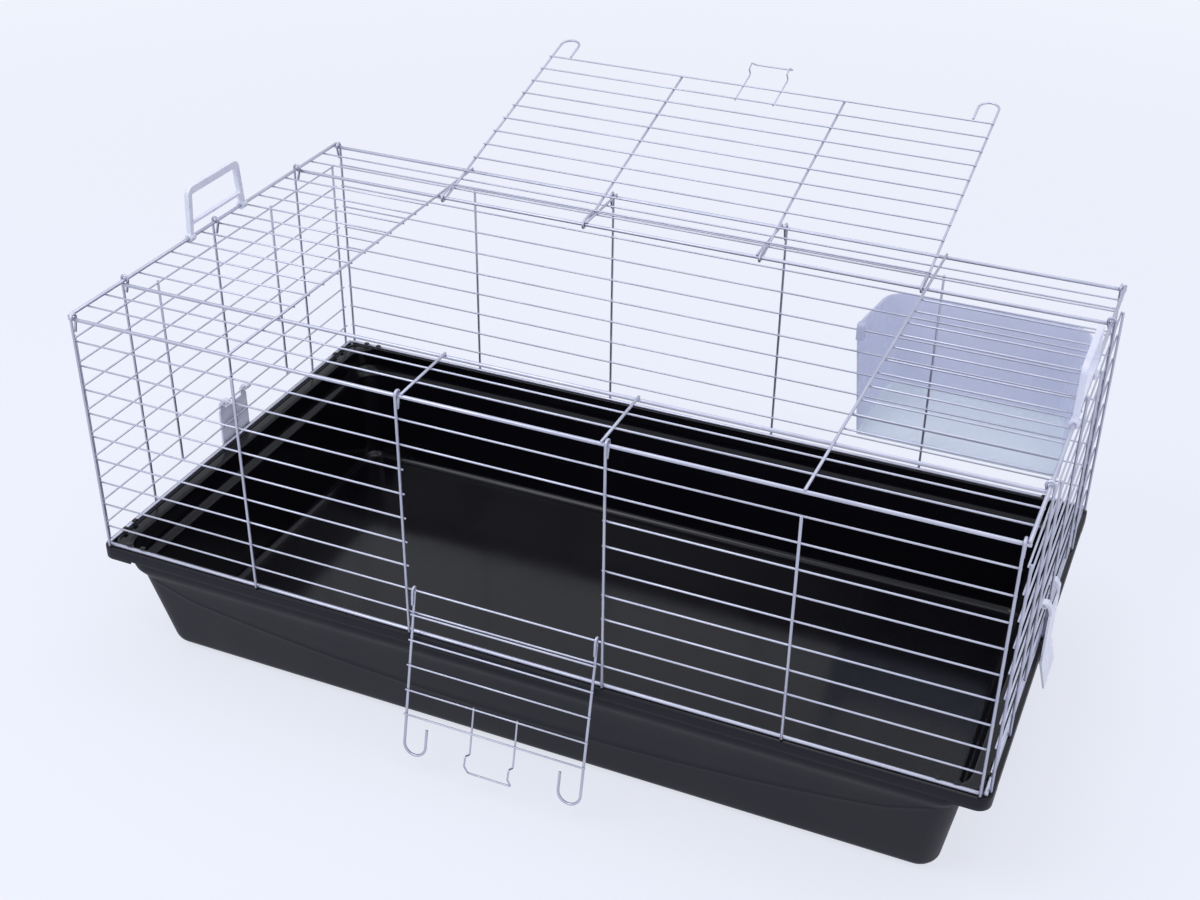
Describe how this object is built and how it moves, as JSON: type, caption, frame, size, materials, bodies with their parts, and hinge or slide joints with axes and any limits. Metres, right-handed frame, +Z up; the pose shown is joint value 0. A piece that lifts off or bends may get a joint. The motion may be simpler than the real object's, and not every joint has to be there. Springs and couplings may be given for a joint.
{
  "type": "rabbit cage",
  "caption": "Folding wire rabbit cage on a deep plastic tray, with roof and front doors, carry handles, end latches and a hay rack.",
  "frame": {"origin": "centre of the tray's underside, on the floor", "axes": "+X along the length to the right end as seen from the front door, +Y to the back, +Z up"},
  "size_m": [1.0202, 0.846, 0.533],
  "materials": {
    "wire": "bright zinc-plated steel wire",
    "tray_plastic": "near-black plastic, satin outside and glossy inside",
    "white_plastic": "smooth white moulded plastic",
    "rack_plastic": "translucent bluish moulded plastic"
  },
  "bodies": {
    "cage": {"tray": "tray_plastic", "front_uprights": "wire", "front_bars": "wire", "front_bottom_rail": "wire", "back_uprights": "wire", "back_bars": "wire", "back_bottom_rail": "wire", "left_uprights": "wire", "left_bars": "wire", "left_bottom_rail": "wire", "right_uprights": "wire", "right_bars": "wire", "right_bottom_rail": "wire", "roof_side_rails": "wire", "roof_cross_rails": "wire", "roof_dividers": "wire", "roof_stubs": "wire", "roof_cross_wires": "wire", "roof_side_wires": "wire", "roof_hinge_wire": "wire", "roof_border_wire": "wire"},
    "roof_door": {"roof_door_side_wires": "wire", "roof_door_inner_wires": "wire", "roof_door_bars": "wire", "roof_door_catch": "wire"},
    "front_door": {"front_door_side_wires": "wire", "front_door_bars": "wire", "front_door_catch": "wire"},
    "left_handle": {"left_handle": "white_plastic"},
    "right_handle": {"right_handle": "white_plastic"},
    "left_latch": {"left_latch": "white_plastic"},
    "right_latch": {"right_latch": "white_plastic"},
    "hay_rack": {"hay_rack": "rack_plastic"}
  },
  "joints": [
    {"name": "roof_door_hinge", "type": "hinge", "parent": "cage", "child": "roof_door", "pos_m": [0, 0.17527, 0.432], "axis": [1, 0, 0], "range_deg": [0, 162]},
    {"name": "front_door_hinge", "type": "hinge", "parent": "cage", "child": "front_door", "pos_m": [0, -0.2645, 0.2051], "axis": [-1, 0, 0], "range_deg": [0, 162]},
    {"name": "left_handle_fold", "type": "hinge", "parent": "cage", "child": "left_handle", "pos_m": [-0.4929, 0, 0.4357], "axis": [0, -1, 0], "range_deg": [0, 144]},
    {"name": "right_handle_fold", "type": "hinge", "parent": "cage", "child": "right_handle", "pos_m": [0.4929, 0, 0.4357], "axis": [0, 1, 0], "range_deg": [0, 144]},
    {"name": "left_latch_swing", "type": "hinge", "parent": "cage", "child": "left_latch", "pos_m": [-0.4945, 0, 0.2051], "axis": [0, 1, 0], "range_deg": [0, 100]},
    {"name": "right_latch_swing", "type": "hinge", "parent": "cage", "child": "right_latch", "pos_m": [0.4945, 0, 0.2051], "axis": [0, -1, 0], "range_deg": [0, 100]},
    {"name": "hay_rack_lift", "type": "slide", "parent": "cage", "child": "hay_rack", "axis": [0, 0, 1], "range_m": [0, 0.016]}
  ]
}
